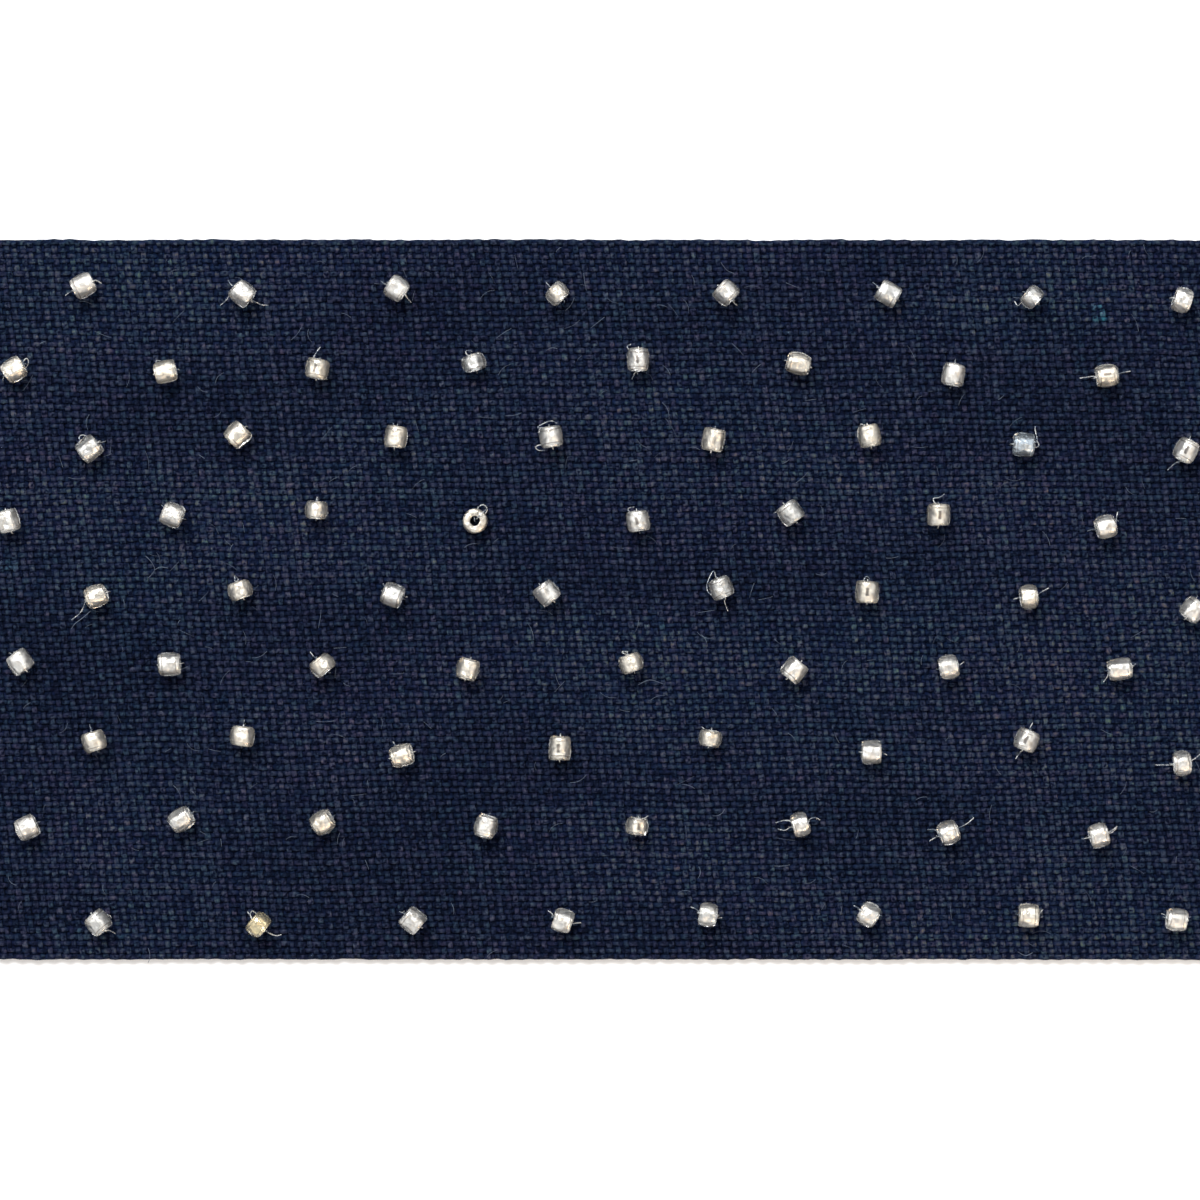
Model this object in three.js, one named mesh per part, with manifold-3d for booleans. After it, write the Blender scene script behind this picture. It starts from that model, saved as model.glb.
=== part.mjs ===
// Beaded trim: a cut length of navy linen with nine staggered rows of glass seed beads sewn on one by one.
// Millimetres. +X runs along the trim, +Y across it and +Z up. The cloth's back lies on z = 0.
import * as THREE from "three";
import { mergeVertices } from "three/addons/utils/BufferGeometryUtils.js";
import Module from "manifold-3d";

const wasm = await Module();
wasm.setup();

// Room left between pieces that touch
const CLEAR = 0.3;

// The cloth, a plain rectangle with cut edges
const CLOTH = { length: 104.8, width: 60.5, thickness: 1 };

// The sewing thread, a doubled clear filament. Pulled along the cloth's back it lies a little narrower.
const THREAD = { side: 0.2, backWidth: 0.16 };

// A bead is a short barrel. The short ones are wider, so a bead's width follows from its length.
const BEAD = {
  sides: 8,
  bore: 0.8,
  widthAtNoLength: 2.95,
  widthLostPerLength: 0.47,
  endShare: 0.8,
  beltShare: 0.45,
};

// How far past the bead's end the thread turns down into the cloth, and how far it sinks into the glass
const STITCH_REACH = 0.25;
const SEAT = 0.03;

// The bead chart, from the upper row down. Each bead is [x, y, turn, length]: x and y count chart steps from
// the middle of the trim, turn is the way of its hole in degrees from +X, and length is in mm along the hole.
const CHART_STEP = 0.084;
const CHART = [
  [
    [-516, 314, 25, 1.9], [-357, 306, -40, 1.8], [-203, 311, -35, 1.7], [-43, 306, -45, 1.6],
    [126, 307, -42, 1.7], [288, 306, -30, 1.9], [431, 302, -38, 1.5], [581, 299, -18, 1.5],
  ],
  [
    [-585, 230, 31, 1.8], [-434, 228, 12, 1.9], [-282, 231, 80, 1.7], [-126, 237, 108, 1.5],
    [38, 240, 88, 2.0], [198, 236, -15, 2.1], [353, 225, 78, 1.9], [506, 224, 10, 1.9],
  ],
  [
    [-510, 151, 38, 1.9], [-362, 165, 45, 1.8], [-204, 163, 82, 1.9], [-49, 163, 100, 1.8],
    [113, 160, 80, 2.0], [269, 164, 100, 1.9], [423, 155, -4, 1.8], [585, 149, 62, 1.9],
  ],
  [
    [-591, 79, 105, 1.9], [-427, 85, -20, 1.8], [-283, 90, 85, 1.6], [-125, 79, 45, 1.6],
    [38, 79, 98, 1.8], [190, 87, -55, 1.8], [338, 85, 90, 1.9], [505, 73, 15, 1.7],
  ],
  [
    [-503, 4, 20, 1.9], [-359, 10, 110, 1.5], [-207, 5, -20, 1.8], [-53, 7, -50, 1.8],
    [121, 12, 112, 1.8], [267, 8, 88, 1.9], [428, 3, 5, 1.45], [592, -10, 50, 1.8],
  ],
  [
    [-579, -62, -55, 1.8], [-430, -64, 4, 1.9], [-277, -65, -50, 1.5], [-132, -69, 75, 1.8],
    [31, -63, 110, 1.6], [194, -70, 50, 1.8], [348, -67, 12, 1.6], [519, -69, 8, 2.0],
  ],
  [
    [-505, -141, 108, 1.7], [-357, -136, 84, 1.7], [-198, -155, 15, 2.0], [-40, -148, 88, 2.1],
    [110, -138, 80, 1.5], [271, -152, 0, 1.7], [426, -140, 68, 1.8], [581, -163, 5, 1.45],
  ],
  [
    [-572, -227, 25, 1.8], [-418, -219, 32, 2.0], [-277, -222, 30, 1.9], [-114, -226, 75, 1.9],
    [37, -226, 82, 1.6], [200, -224, 18, 1.45], [348, -232, 22, 1.7], [498, -235, 14, 1.6],
  ],
  [
    [-501, -322, -50, 1.8], [-341, -324, -40, 1.5], [-187, -320, -40, 1.8], [-37, -320, -18, 1.7],
    [108, -314, -8, 1.6], [268, -314, -28, 1.6], [428, -315, -3, 1.7], [576, -319, -8, 1.8],
  ],
];

// One bead was caught on its end: its hole stands up, and its turn is the way that the thread leaves it.
const UPRIGHT = { row: 3, place: 3 };

const linen = new THREE.MeshStandardMaterial({ color: 0x1c2233, roughness: 0.9, metalness: 0 });
const glass = new THREE.MeshStandardMaterial({ color: 0xe9e6da, roughness: 0.1, metalness: 0.2 });

const solidOf = (geometry) => {
  const bare = geometry.clone();
  bare.deleteAttribute("normal");
  bare.deleteAttribute("uv");
  const merged = mergeVertices(bare);
  return new wasm.Manifold(
    new wasm.Mesh({
      numProp: 3,
      vertProperties: merged.attributes.position.array,
      triVerts: new Uint32Array(merged.index.array),
    }),
  );
};

const meshOf = (name, solid, material) => {
  const made = solid.getMesh();
  const geometry = new THREE.BufferGeometry()
    .setAttribute("position", new THREE.BufferAttribute(made.vertProperties, 3))
    .setIndex(new THREE.BufferAttribute(made.triVerts, 1));
  geometry.computeVertexNormals();
  const mesh = new THREE.Mesh(geometry, material);
  mesh.name = name;
  return mesh;
};

const joined = (solids) => solids.reduce((whole, solid) => whole.add(solid));

// A bead of the given length with its hole along Z and its middle at the origin
const beadGeometry = (length) => {
  const radius = beadWidth(length) / 2;
  const end = length / 2;
  const belt = end * BEAD.beltShare;
  const bore = BEAD.bore / 2;
  const outline = [
    [bore, -end],
    [radius * BEAD.endShare, -end],
    [radius, -belt],
    [radius, belt],
    [radius * BEAD.endShare, end],
    [bore, end],
    [bore, -end],
  ].map(([r, z]) => new THREE.Vector2(r, z));
  return new THREE.LatheGeometry(outline, BEAD.sides)
    .rotateX(Math.PI / 2)
    .rotateZ(Math.PI / BEAD.sides);
};

const beadWidth = (length) => BEAD.widthAtNoLength - BEAD.widthLostPerLength * length;

// Where a charted bead sits, and its stitch: the thread comes up through the cloth at the first reach along the
// bead's turn, crosses at the given height and goes down at the second reach.
const placed = ([x, y, turn, length], upright) => {
  const width = beadWidth(length);
  const half = (upright ? length : width) / 2;
  const wall = (BEAD.bore / 2) * Math.cos(Math.PI / BEAD.sides) + SEAT - THREAD.side / 2;
  const past = (upright ? width : length) / 2 + STITCH_REACH;
  const middle = new THREE.Vector3(x * CHART_STEP, y * CHART_STEP, CLOTH.thickness + CLEAR + half);
  return {
    length,
    upright,
    middle,
    angle: THREE.MathUtils.degToRad(turn),
    reach: [upright ? wall : -past, past],
    height: upright ? middle.z + half - SEAT + THREAD.side / 2 : middle.z - wall,
  };
};

// The two places where a bead's thread goes through the cloth, on z = 0
const passes = ({ angle, middle, reach }) =>
  reach.map((r) => new THREE.Vector3(middle.x + r * Math.cos(angle), middle.y + r * Math.sin(angle), 0));

const beadSolid = ({ angle, upright, length, middle }) => {
  const geometry = beadGeometry(length);
  if (!upright) geometry.rotateY(Math.PI / 2);
  return solidOf(geometry.rotateZ(angle).translate(...middle.toArray()));
};

// A stitch is a flat staple of square thread, cut from the upright plane along the bead's turn.
const stitchSolid = ({ angle, middle, reach: [first, second], height }) => {
  const half = THREAD.side / 2;
  const staple = new THREE.Shape([
    new THREE.Vector2(first - half, 0),
    new THREE.Vector2(first + half, 0),
    new THREE.Vector2(first + half, height - half),
    new THREE.Vector2(second - half, height - half),
    new THREE.Vector2(second - half, 0),
    new THREE.Vector2(second + half, 0),
    new THREE.Vector2(second + half, height + half),
    new THREE.Vector2(first - half, height + half),
  ]);
  return solidOf(
    new THREE.ExtrudeGeometry(staple, { depth: THREAD.side, bevelEnabled: false })
      .translate(0, 0, -half)
      .rotateX(Math.PI / 2)
      .rotateZ(angle)
      .translate(middle.x, middle.y, 0),
  );
};

// A bar along the cloth's back from one point to another, between two levels
const backBar = (from, to, width, low, high) => {
  const way = to.clone().sub(from);
  return solidOf(
    new THREE.BoxGeometry(way.length(), width, high - low)
      .translate(way.length() / 2, 0, (low + high) / 2)
      .rotateZ(Math.atan2(way.y, way.x))
      .translate(from.x, from.y, 0),
  );
};

// The runs of a row's thread on the back, from where it leaves one bead to where it reaches the next
const runs = (row) => row.slice(1).map((bead, i) => [passes(row[i])[1], passes(bead)[0]]);

const rowSolid = (row) =>
  joined([
    ...row.map(beadSolid),
    ...row.map(stitchSolid),
    ...runs(row).map(([from, to]) => backBar(from, to, THREAD.backWidth, 0, THREAD.side)),
  ]);

// What a row's thread needs in the cloth: a square hole for each pass and a groove for each run on the back
const threadRoom = (row) => {
  const side = THREAD.side + 2 * CLEAR;
  const holes = row.flatMap((bead) =>
    passes(bead).map((point) =>
      solidOf(
        new THREE.BoxGeometry(side, side, 3 * CLOTH.thickness)
          .rotateZ(bead.angle)
          .translate(point.x, point.y, CLOTH.thickness / 2),
      ),
    ),
  );
  const grooves = runs(row).map(([from, to]) =>
    backBar(from, to, THREAD.backWidth + 2 * CLEAR, -CLEAR, THREAD.side + CLEAR),
  );
  return joined([...holes, ...grooves]);
};

const rows = CHART.map((beads, r) =>
  beads.map((bead, b) => placed(bead, r === UPRIGHT.row && b === UPRIGHT.place)),
);

const sheet = solidOf(
  new THREE.BoxGeometry(CLOTH.length, CLOTH.width, CLOTH.thickness).translate(0, 0, CLOTH.thickness / 2),
);

const trim = new THREE.Group();
trim.add(meshOf("linen_ground", sheet.subtract(joined(rows.map(threadRoom))), linen));
rows.forEach((row, r) => trim.add(meshOf("bead_row_" + (r + 1), rowSolid(row), glass)));

export default trim;
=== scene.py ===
import math
import random

import bpy
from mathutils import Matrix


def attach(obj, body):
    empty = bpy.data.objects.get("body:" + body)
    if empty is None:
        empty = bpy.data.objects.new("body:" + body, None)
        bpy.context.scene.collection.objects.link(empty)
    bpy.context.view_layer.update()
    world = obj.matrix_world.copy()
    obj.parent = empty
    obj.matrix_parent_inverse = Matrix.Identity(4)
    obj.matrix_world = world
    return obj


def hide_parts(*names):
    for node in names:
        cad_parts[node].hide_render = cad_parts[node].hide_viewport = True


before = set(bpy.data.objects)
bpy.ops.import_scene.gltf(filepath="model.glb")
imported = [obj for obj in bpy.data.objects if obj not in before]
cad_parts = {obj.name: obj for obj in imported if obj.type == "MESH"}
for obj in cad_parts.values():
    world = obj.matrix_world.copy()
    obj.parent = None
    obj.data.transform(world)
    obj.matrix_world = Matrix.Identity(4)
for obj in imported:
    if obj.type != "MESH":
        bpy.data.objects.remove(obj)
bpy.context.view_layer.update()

# Beaded trim: a cut length of navy linen, woven yarn by yarn, with 72 glass seed beads sewn on singly.
# Metres. +X runs along the trim, +Y across it and +Z up. The cloth's back lies on z = 0.
MM = 0.001

# The cut length, as in the part's source
CLOTH_LENGTH = 104.8 * MM
CLOTH_WIDTH = 60.5 * MM
CLOTH_THICKNESS = 1.0 * MM

# The weave. The wefts run along the trim. The warps cross it and lean, their upper ends to the left.
WARPS = 170
WEFTS = 113
WARP_PITCH = 0.663 * MM
WEFT_PITCH = CLOTH_WIDTH / (WEFTS - 0.3)
WARP_LEAN = 0.128
YARN_LEVEL = 0.62 * MM
CRIMP = 0.25 * MM
YARN_SIDES = 5
YARN_HALF_THICKNESS = 0.23 * MM
WEFT_HALF_WIDTH = 0.246 * MM
WARP_HALF_WIDTH = 0.285 * MM

# How unevenly it was woven: a yarn's shift as a share of its pitch, the pull that moves yarns together,
# each yarn's own wandering, and where the pull fades out towards the cut edges
YARN_SHIFT = 0.14
TENSION_PULL = 0.8 * MM
YARN_WANDER = 0.24 * MM
FIRM_EDGE = 0.5 * MM
SLACK_FROM_EDGE = 4 * MM

# A thin dark sheet between the yarns, which stands in for the shade in the gaps
SHADE_SHEET_THICKNESS = 0.06 * MM
SHADE_SHEET_MARGIN = 0.3 * MM
SHADE_SHEET_STEP = 0.8 * MM
SHADE_SHEET_UNEVENNESS = 0.08 * MM

# The cloth's colours: painted shade deep between the yarns, the yarns' crowns painted lighter as lit,
# the dye on the slubs that took it differently, then the casts of the reddest and the greenest fibres
PAINTED_SHADE_NAVY = (0.0021, 0.0052, 0.0192, 1.0)
LIT_CROWN_NAVY = (0.0152, 0.0193, 0.0362, 1.0)
SLUB_BLUE = (0.018, 0.098, 0.145, 1.0)
PLUM_CAST = (1.23, 0.93, 1.05, 1.0)
TEAL_CAST = (0.68, 1.06, 1.02, 1.0)

# How many fibres show along a millimetre of yarn and around it
FIBRES_PER_MM = 1.6
FIBRES_AROUND_YARN = 22.0

# The glass and its silvering, then the filament, the hairs and the floor, each from dark to light
CLEAR_GLASS = (1.0, 1.0, 1.0, 1.0)
SILVER_CAST = (0.84, 0.83, 0.82, 1.0)
TARNISHED_SILVER = (0.46, 0.39, 0.30, 1.0)
# Painted: the dark brown of the rings near the silvering's ends, for the refraction at the glass's
# rounded lip
RIM_REFRACTION_BROWN = (0.16, 0.12, 0.085, 1.0)
# Painted: the dark brown of a reflection along the top of the silvering
DARK_REFLECTION_BROWN = (0.070, 0.050, 0.036, 1.0)
# Painted glints: the filament's darker shade and the white of its painted glints
FILAMENT_FADE_AND_GLINT = ((0.30, 0.35, 0.42, 1.0), (0.97, 0.98, 0.97, 1.0))
HAIR_SHADES = ((0.03, 0.04, 0.07, 1.0), (0.10, 0.13, 0.18, 1.0))
PAPER_SHADES = ((0.90, 0.90, 0.90, 1.0), (0.94, 0.94, 0.94, 1.0))

# The sewing filament, clear and doubled, drawn as a single strand. Its levels are in millimetres: along
# the cloth's back, at its face and where a slack end comes to rest.
FILAMENT_WIDTH = 0.1 * MM
SLACK_FINENESS = 0.9
BACK_LEVEL = 0.1
FACE_LEVEL = CLOTH_THICKNESS / MM
SLACK_LEVEL = 1.3

# Loose hairs of linen. Their levels are in millimetres.
HAIR_WIDTH = 0.05 * MM
HAIR_LEVEL = 1.2
FUZZ_LEVEL = 0.9
FUZZ_RISE = 0.32
FUZZ_COUNT = 260
FUZZ_SPREAD = 0.49

# A bead is a short barrel. The short ones are wider, so a width in millimetres follows from the length.
BEAD_WIDTH_AT_NO_LENGTH = 2.95
BEAD_WIDTH_LOST_PER_LENGTH = 0.47

# How far a bead of the charted size clears the cloth, in millimetres, how full the beads are beside the
# chart, and the small-holed ones beside the others
BEAD_LIFT = 0.12
BEAD_FULLNESS = 0.96
SMALL_BEAD = 0.94

# The hole and its silvering as shares of the bead's width, the silvering's length as a share of the
# bead's, and how much their corners are squared
BEAD_HOLE_SHARE = 0.4
LINING_SHARE = 0.57
LINING_LENGTH_SHARE = 0.8
SQUARED_HOLE = 0.3
SQUARED_LINING = 0.45

# How far a bead may roll about its hole, in radians, and how uneven the glass and the silvering are
BEAD_ROLL = 0.3
GLASS_UNEVENNESS = 0.24 * MM
LINING_UNEVENNESS = 0.08 * MM

# The studio: half the floor's width, the light of the room and each lamp's name, place, size, power and
# colour
FLOOR_HALF = 2.0
ROOM_LIGHT = (0.93, 0.96, 1.0, 1.0)
ROOM_BRIGHTNESS = 0.85
LAMPS = (
    ("upper softbox", (-0.14, 0.42, 0.55), 0.34, 7.2, (1.0, 1.0, 1.0)),
    ("lower warm fill", (0.30, -0.42, 0.24), 0.2, 1.6, (1.0, 0.74, 0.48)),
)

# The camera, overhead. It takes in this many chart steps, true to size at the level of the beads.
VIEW_STEPS = 1200
VIEW_LEVEL = 1.6 * MM
CAMERA_LENS = 120
CAMERA_SENSOR = 36

# The bead chart, as in the part's source, with the glass and the form of each row's beads first. Each
# bead is x, y, turn, length: x and y in chart steps from the trim's middle, and turn in degrees from
# +X. The step and the lengths are in millimetres.
CHART_STEP = 0.084
BEAD_CHART = (
    ("wwwcwssw", "bqbobqob", (
        (-516, 314, 25, 1.9), (-357, 306, -40, 1.8), (-203, 311, -35, 1.7), (-43, 306, -45, 1.6),
        (126, 307, -42, 1.7), (288, 306, -30, 1.9), (431, 302, -38, 1.5), (581, 299, -18, 1.5))),
    ("cccswcwc", "bbbobrbr", (
        (-585, 230, 31, 1.8), (-434, 228, 12, 1.9), (-282, 231, 80, 1.7), (-126, 237, 108, 1.5),
        (38, 240, 88, 2.0), (198, 236, -15, 2.1), (353, 225, 78, 1.9), (506, 224, 10, 1.9))),
    ("sccwccbw", "qqbqqbqb", (
        (-510, 151, 38, 1.9), (-362, 165, 45, 1.8), (-204, 163, 82, 1.9), (-49, 163, 100, 1.8),
        (113, 160, 80, 2.0), (269, 164, 100, 1.9), (423, 155, -4, 1.8), (585, 149, 62, 1.9))),
    ("wwccwscw", "bqoubqqr", (
        (-591, 79, 105, 1.9), (-427, 85, -20, 1.8), (-283, 90, 85, 1.6), (-125, 79, 45, 1.6),
        (38, 79, 98, 1.8), (190, 87, -55, 1.8), (338, 85, 90, 1.9), (505, 73, 15, 1.7))),
    ("ccswsccw", "rrbqbqrb", (
        (-503, 4, 20, 1.9), (-359, 10, 110, 1.5), (-207, 5, -20, 1.8), (-53, 7, -50, 1.8),
        (121, 12, 112, 1.8), (267, 8, 88, 1.9), (428, 3, 5, 1.45), (592, -10, 50, 1.8))),
    ("wwcccwww", "qqrrrqrb", (
        (-579, -62, -55, 1.8), (-430, -64, 4, 1.9), (-277, -65, -50, 1.5), (-132, -69, 75, 1.8),
        (31, -63, 110, 1.6), (194, -70, 50, 1.8), (348, -67, 12, 1.6), (519, -69, 8, 2.0))),
    ("cccccwww", "bbrqoqbr", (
        (-505, -141, 108, 1.7), (-357, -136, 84, 1.7), (-198, -155, 15, 2.0), (-40, -148, 88, 2.1),
        (110, -138, 80, 1.5), (271, -152, 0, 1.7), (426, -140, 68, 1.8), (581, -163, 5, 1.45))),
    ("wwcwcwww", "qrrrorrb", (
        (-572, -227, 25, 1.8), (-418, -219, 32, 2.0), (-277, -222, 30, 1.9), (-114, -226, 75, 1.9),
        (37, -226, 82, 1.6), (200, -224, 18, 1.45), (348, -232, 22, 1.7), (498, -235, 14, 1.6))),
    ("sgswswcw", "brqbrrqb", (
        (-501, -322, -50, 1.8), (-341, -324, -40, 1.5), (-187, -320, -40, 1.8), (-37, -320, -18, 1.7),
        (108, -314, -8, 1.6), (268, -314, -28, 1.6), (428, -315, -3, 1.7), (576, -319, -8, 1.8))),
)

# One bead was caught on its end. Its hole stands up, and the filament leaves it along its turn.
UPRIGHT_BEAD = (3, 3)

# Beads with a painted dark reflection along the top of the hole, where the silvering faces up, by row
# and place, then how dark the reflection is in these and in the others
DARK_REFLECTION_BEADS = ((1, 2), (1, 4), (1, 7), (2, 7), (3, 4), (3, 6), (4, 5), (6, 3), (6, 6), (7, 4))
STRONG_DARK_REFLECTION = 0.9
FAINT_DARK_REFLECTION = 0.2

# The glass letters in the chart: white, cream, silvery, bluish and champagne
GLASS_TINTS = {
    "w": (0.98, 0.97, 0.94),
    "c": (0.98, 0.945, 0.87),
    "s": (0.90, 0.90, 0.88),
    "b": (0.76, 0.83, 0.89),
    "g": (0.95, 0.87, 0.64),
}

# The form letters in the chart: cut square, barrel, tumbled round, small-holed oval and upright. The
# roundness is that of a ring's section, and the lining's width is beside the usual one.
BEAD_FORMS = {
    "q": {"roundness": 0.64, "lining_roundness": 0.24, "lining_width": 1.0},
    "b": {"roundness": 0.86, "lining_roundness": 0.42, "lining_width": 1.0},
    "r": {"roundness": 1.12, "lining_roundness": 0.7, "lining_width": 0.97},
    "o": {"roundness": 1.08, "lining_roundness": 0.7, "lining_width": 0.87},
    "u": {"roundness": 0.8, "lining_roundness": 0.24, "lining_width": 1.5},
}

# Cut ends and slack loops of filament: row and place of the bead, then points from its middle in chart
# steps, right and up. The filament leaves the hole's nearer end.
SLACK_FILAMENT = (
    (0, 0, ((12, 6), (17, 3))), (0, 0, ((-14, -6), (-19, -9))), (0, 1, ((-12, 9), (-15, 14))),
    (0, 1, ((-16, -6), (-23, -11))), (0, 1, ((13, -8), (18, -11), (25, -11))),
    (0, 2, ((-11, 4), (-16, 8))), (0, 2, ((-10, -6), (-5, -11), (3, -9))),
    (0, 2, ((10, -9), (14, -13))), (0, 3, ((-8, 8), (-11, 12))), (0, 4, ((7, -9), (11, -12))),
    (0, 5, ((-11, 8), (-15, 12))), (0, 6, ((-10, -4), (-13, -9), (-16, -3))),
    (1, 0, ((8, 8), (12, 13), (14, 7), (10, 2))), (1, 0, ((-10, -4), (-13, -10))),
    (1, 1, ((-8, 8), (-11, 12), (-5, 11))), (1, 2, ((-5, 9), (-3, 15), (2, 22))),
    (1, 3, ((-7, 7), (-9, 13), (-2, 12))), (1, 4, ((-8, 9), (-12, 14), (-7, 16))),
    (1, 4, ((-3, -12), (-6, -19))), (1, 6, ((1, 11), (3, 16))),
    (1, 7, ((-12, 0), (-18, -1), (-26, -2))), (1, 7, ((12, 2), (18, 4), (25, 5))),
    (2, 0, ((-8, 7), (-12, 12), (-7, 15), (0, 10))), (2, 0, ((10, 6), (15, 8))),
    (2, 0, ((-9, -7), (-4, -13))), (2, 2, ((-2, 9), (-3, 14))),
    (2, 3, ((-8, 9), (-15, 9), (-9, 13), (0, 17), (6, 14))),
    (2, 3, ((-9, -7), (-17, -10), (-12, -14), (-6, -13))), (2, 5, ((-4, 10), (-9, 13), (-8, 7))),
    (2, 6, ((11, 2), (15, 4), (13, 11), (12, 19))), (2, 6, ((12, -3), (17, -1), (14, 5))),
    (2, 7, ((4, 10), (6, 15))), (2, 7, ((-10, -12), (-17, -19))), (3, 1, ((-7, 6), (-12, 10))),
    (3, 2, ((-1, 9), (0, 13))), (3, 4, ((-8, 8), (-11, 13), (-4, 14))),
    (3, 3, ((-1, 7), (3, 14), (8, 17), (12, 14), (12, 9), (7, 5))), (3, 5, ((-11, 2), (-16, 0))),
    (3, 6, ((-3, 11), (-6, 17), (1, 17), (7, 21))), (3, 7, ((-12, -2), (-17, -4))),
    (3, 7, ((11, 7), (13, 15))), (3, 7, ((9, 9), (14, 6))), (4, 0, ((-15, -16), (-26, -24))),
    (4, 1, ((-6, 8), (-7, 16), (-3, 10))), (4, 2, ((-8, 8), (-10, 11))), (4, 2, ((10, -1), (14, -2))),
    (4, 4, ((-12, -7), (-15, 2), (-11, 12), (-7, 19), (-5, 10))), (4, 4, ((3, -13), (7, -23))),
    (4, 5, ((-4, 9), (-2, 16), (2, 15), (4, 9))), (4, 6, ((-9, -1), (-14, -2))),
    (4, 6, ((10, 3), (15, 6), (21, 9))), (4, 7, ((3, 10), (6, 14))), (5, 0, ((-8, 7), (-12, 9))),
    (5, 2, ((-9, 8), (-13, 13))), (5, 4, ((-7, 9), (-10, 12), (-3, 11))), (5, 5, ((-11, 3), (-14, -2))),
    (5, 6, ((12, 2), (16, 5))), (5, 7, ((13, 2), (17, 5))), (5, 7, ((-11, -7), (-15, -13))),
    (6, 0, ((-3, 10), (-6, 16))), (6, 1, ((0, 10), (1, 16))), (6, 2, ((-6, 9), (-9, 13))),
    (6, 4, ((-5, 8), (-8, 11))), (6, 5, ((12, -1), (16, -3))), (6, 6, ((3, 11), (7, 17))),
    (6, 6, ((-6, -12), (-10, -19))), (6, 7, ((9, 2), (15, 5), (20, 9))),
    (6, 7, ((-10, -2), (-15, -2), (-25, -2))), (7, 4, ((7, 7), (11, 10))),
    (7, 5, ((-10, -3), (-15, -7), (-22, -5))), (7, 5, ((9, 5), (15, 7), (20, 4))),
    (7, 5, ((-8, 3), (-16, 4), (-24, 1))), (7, 6, ((12, 5), (19, 8), (26, 14))),
    (7, 6, ((-12, -5), (-18, -9))), (7, 6, ((-12, 3), (-20, 2))), (7, 7, ((-10, -3), (-16, -4))),
    (7, 7, ((10, 3), (16, 6), (20, 10), (16, 3), (10, 1))), (8, 0, ((11, -8), (16, -12))),
    (8, 0, ((9, 8), (12, 4))), (8, 1, ((-7, 7), (-12, 12))), (8, 1, ((10, -9), (17, -12), (22, -11))),
    (8, 1, ((-9, 10), (-7, 14), (-3, 10))), (8, 2, ((-9, 7), (-14, 8))), (8, 3, ((-10, 6), (-15, 9))),
    (8, 3, ((12, -3), (18, -3))), (8, 4, ((-10, 4), (-17, 7))), (8, 4, ((9, -4), (14, -4))),
    (8, 5, ((-9, 6), (-14, 8))), (8, 5, ((8, -1), (14, -2))), (8, 6, ((11, 1), (15, 5))),
    (8, 6, ((11, -3), (15, -2))), (8, 7, ((-10, 4), (-14, 5))), (8, 7, ((11, 1), (15, 2))),
)

# Loose hairs of linen lying on the cloth, in chart steps from the trim's middle
LOOSE_HAIRS = (
    ((-455, 44), (-449, 38), (-446, 30), (-452, 22)),
    ((-446, 30), (-440, 33), (-433, 32)),
    ((-510, -11), (-518, -18), (-526, -24), (-529, -29)),
    ((121, 338), (127, 330), (134, 327)),
    ((418, -352), (426, -356), (433, -353)),
    ((38, -85), (50, -80), (63, -84)),
)

# Slubs where the dye took differently: x, y, half length and half width in chart steps, then strength.
# They lie along the wefts, or along the warps where the half width is the larger.
DYE_SLUBS = (
    (500, 292, 8, 3, 0.55), (505, 287, 3, 7, 0.36), (502, 283, 7, 3, 0.315), (-55, 92, 26, 3, 0.0875),
    (62, -28, 34, 4, 0.0675), (-592, 35, 12, 8, 0.15), (-595, 160, 8, 6, 0.125), (5, 305, 4, 8, 0.09),
    (-330, 268, 40, 3, 0.045), (-20, 162, 30, 4, 0.045), (-520, -330, 9, 3, 0.175),
    (-485, -338, 4, 3, 0.36), (-180, 240, 26, 3, 0.0375), (230, 70, 40, 3, 0.025),
    (370, -30, 34, 3, 0.0375), (-380, -40, 40, 3, 0.025),
)


# Node trees
class Amount:
    """A number that a node tree works out. The usual signs put in the nodes for its sums."""

    def __init__(self, bench, socket):
        self.bench = bench
        self.socket = socket

    def __add__(self, other):
        return self.bench.math("ADD", self, other)

    def __sub__(self, other):
        return self.bench.math("SUBTRACT", self, other)

    def __mul__(self, other):
        return self.bench.math("MULTIPLY", self, other)

    def __truediv__(self, other):
        return self.bench.math("DIVIDE", self, other)

    def __mod__(self, other):
        return self.bench.math("FLOORED_MODULO", self, other)

    def __pow__(self, other):
        return self.bench.math("POWER", self, other)

    def __abs__(self):
        return self.bench.math("ABSOLUTE", self)


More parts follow.
